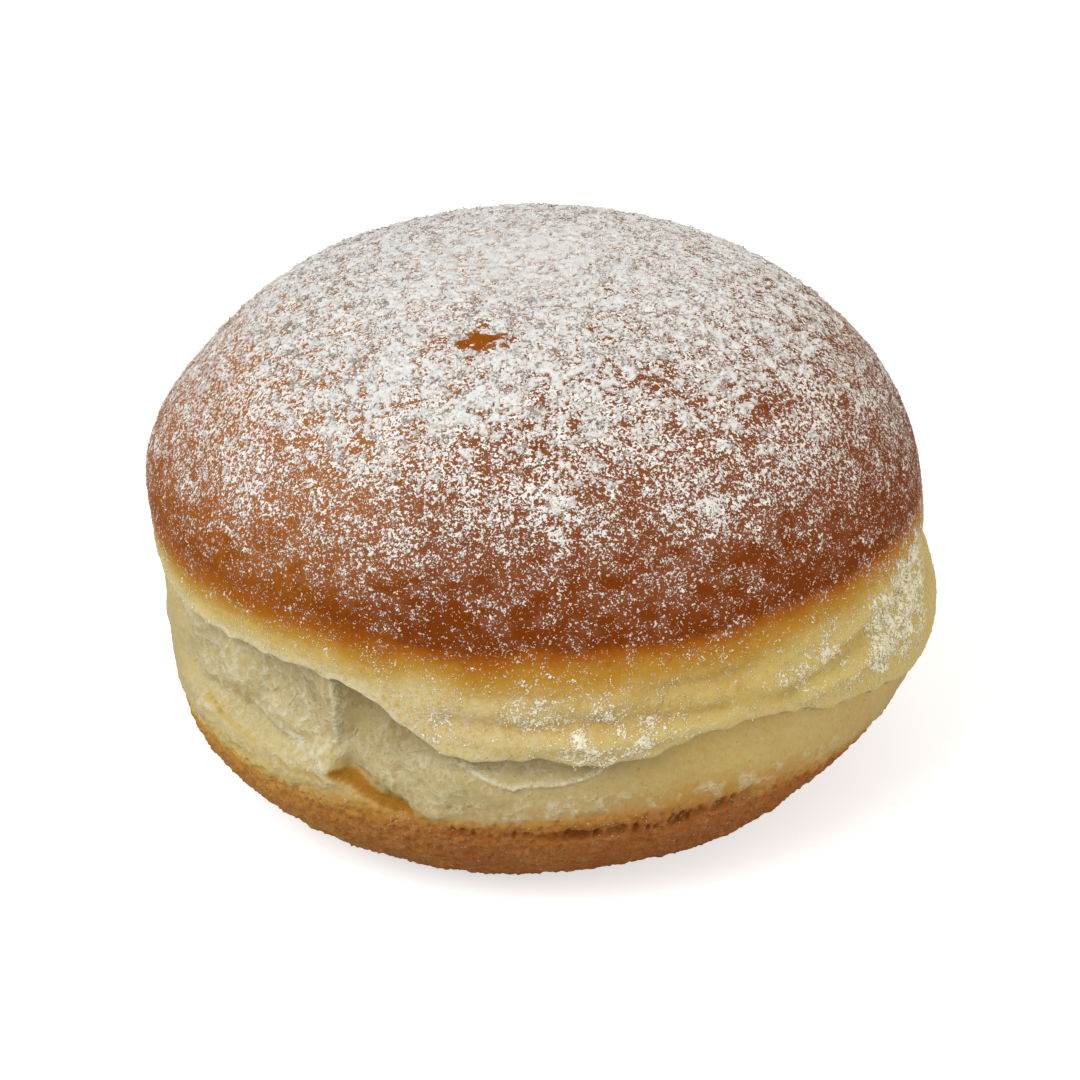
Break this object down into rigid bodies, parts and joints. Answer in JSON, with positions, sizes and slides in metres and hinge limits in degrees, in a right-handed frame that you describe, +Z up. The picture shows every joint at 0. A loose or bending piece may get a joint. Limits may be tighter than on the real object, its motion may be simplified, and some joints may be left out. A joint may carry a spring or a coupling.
{
  "type": "berliner doughnut",
  "caption": "Round filled-style yeast doughnut with a sugar-dusted brown dome, a pale torn waist and a brown flat-bottomed crust, resting on its base.",
  "frame": {"origin": "on the flat that the doughnut rests on, below the middle of its girth", "axes": "+Z up from the flat to the crown, -Y towards the torn front, +X to its right"},
  "size_m": [0.0921, 0.0913, 0.0613],
  "materials": {
    "crust": "fried brown crust, satin where bare",
    "crumb": "pale yellow dough and torn open crumb, matt",
    "icing_sugar": "white powder, fully matt"
  },
  "bodies": {
    "root": {"berliner": "crust"}
  },
  "joints": []
}
